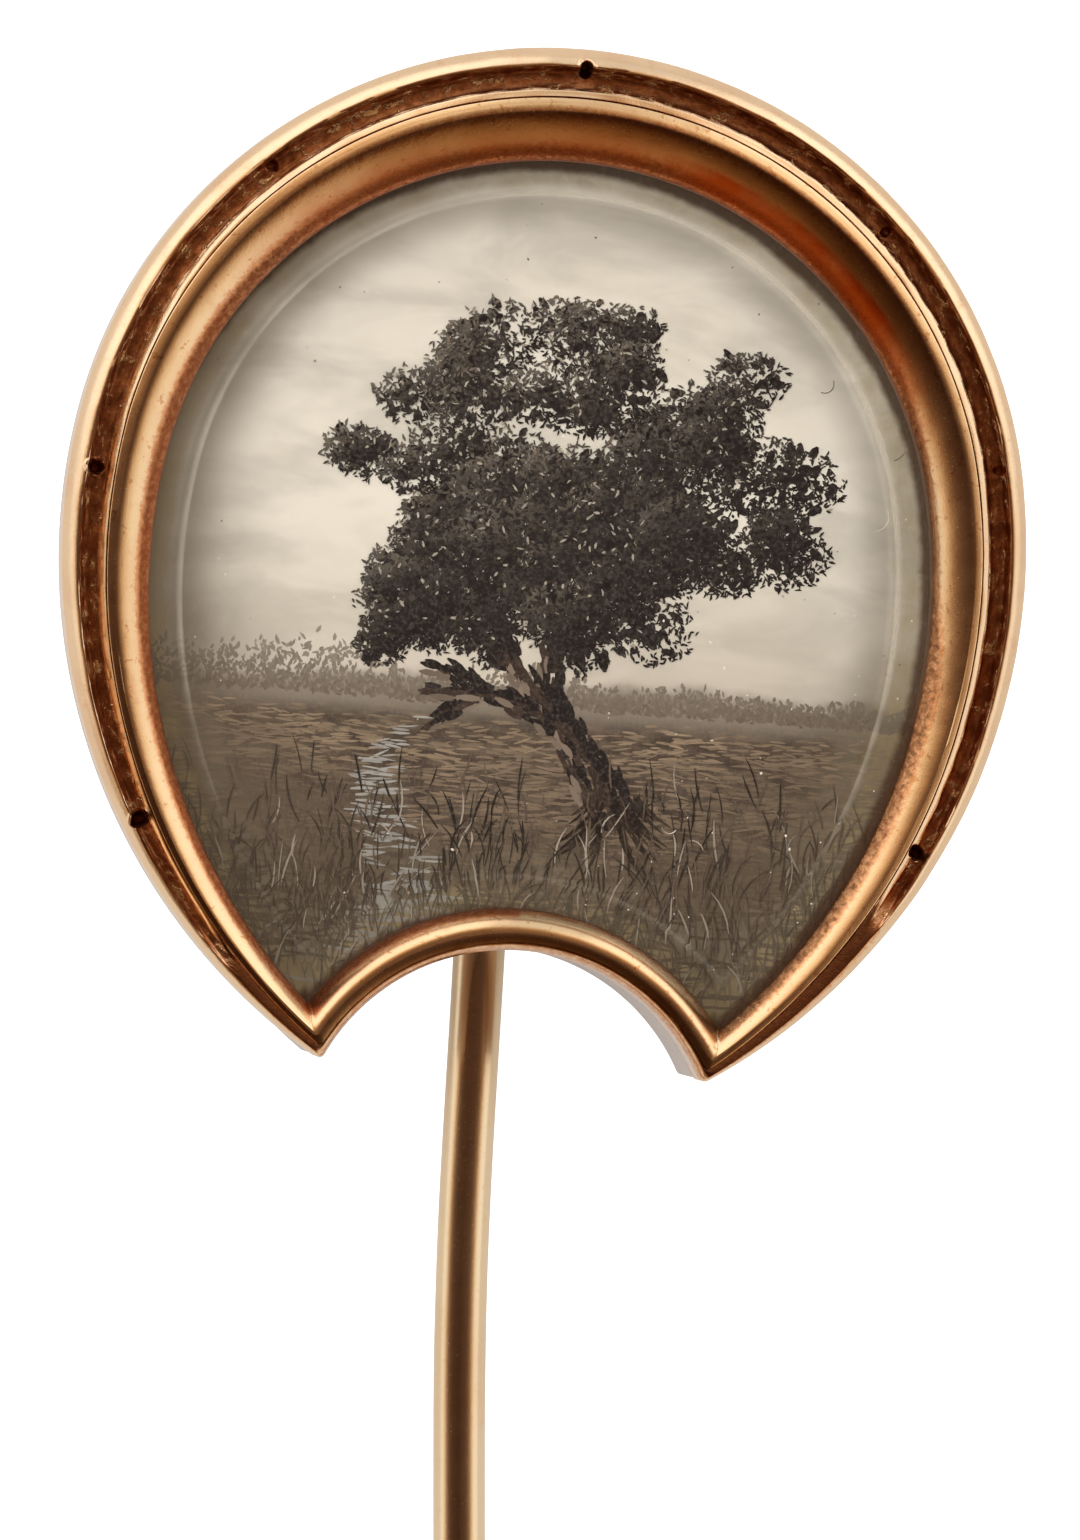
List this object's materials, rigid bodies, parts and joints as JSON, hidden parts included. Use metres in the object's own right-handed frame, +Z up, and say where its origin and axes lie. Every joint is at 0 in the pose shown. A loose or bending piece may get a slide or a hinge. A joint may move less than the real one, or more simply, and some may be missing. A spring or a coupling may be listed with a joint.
{
  "type": "horseshoe stick pin",
  "caption": "Stick pin lying flat: horseshoe head with a grooved rim and nail holes, rolled bezel, bevelled crystal over a painted miniature, and a long pointed stem.",
  "frame": {"origin": "middle of the plan box of the whole pin, on the table that it lies on", "axes": "+Y from the point to the toe of the horseshoe, +Z up out of the table; the head's face leans 6.2 degrees towards +X, because it rests on the stem and on one edge of its back"},
  "size_m": [0.0184, 0.075, 0.0057],
  "materials": {
    "rose_gold_case": "polished rose gold, worn, with a yellow gold stem",
    "rose_gold_bezel": "polished rose gold, soft from wear",
    "crystal": "clear bevelled crystal",
    "painted_enamel": "fine painted miniature, satin"
  },
  "bodies": {
    "root": {"case_and_stem": "rose_gold_case", "bezel": "rose_gold_bezel", "crystal": "crystal", "miniature": "painted_enamel"}
  },
  "joints": []
}
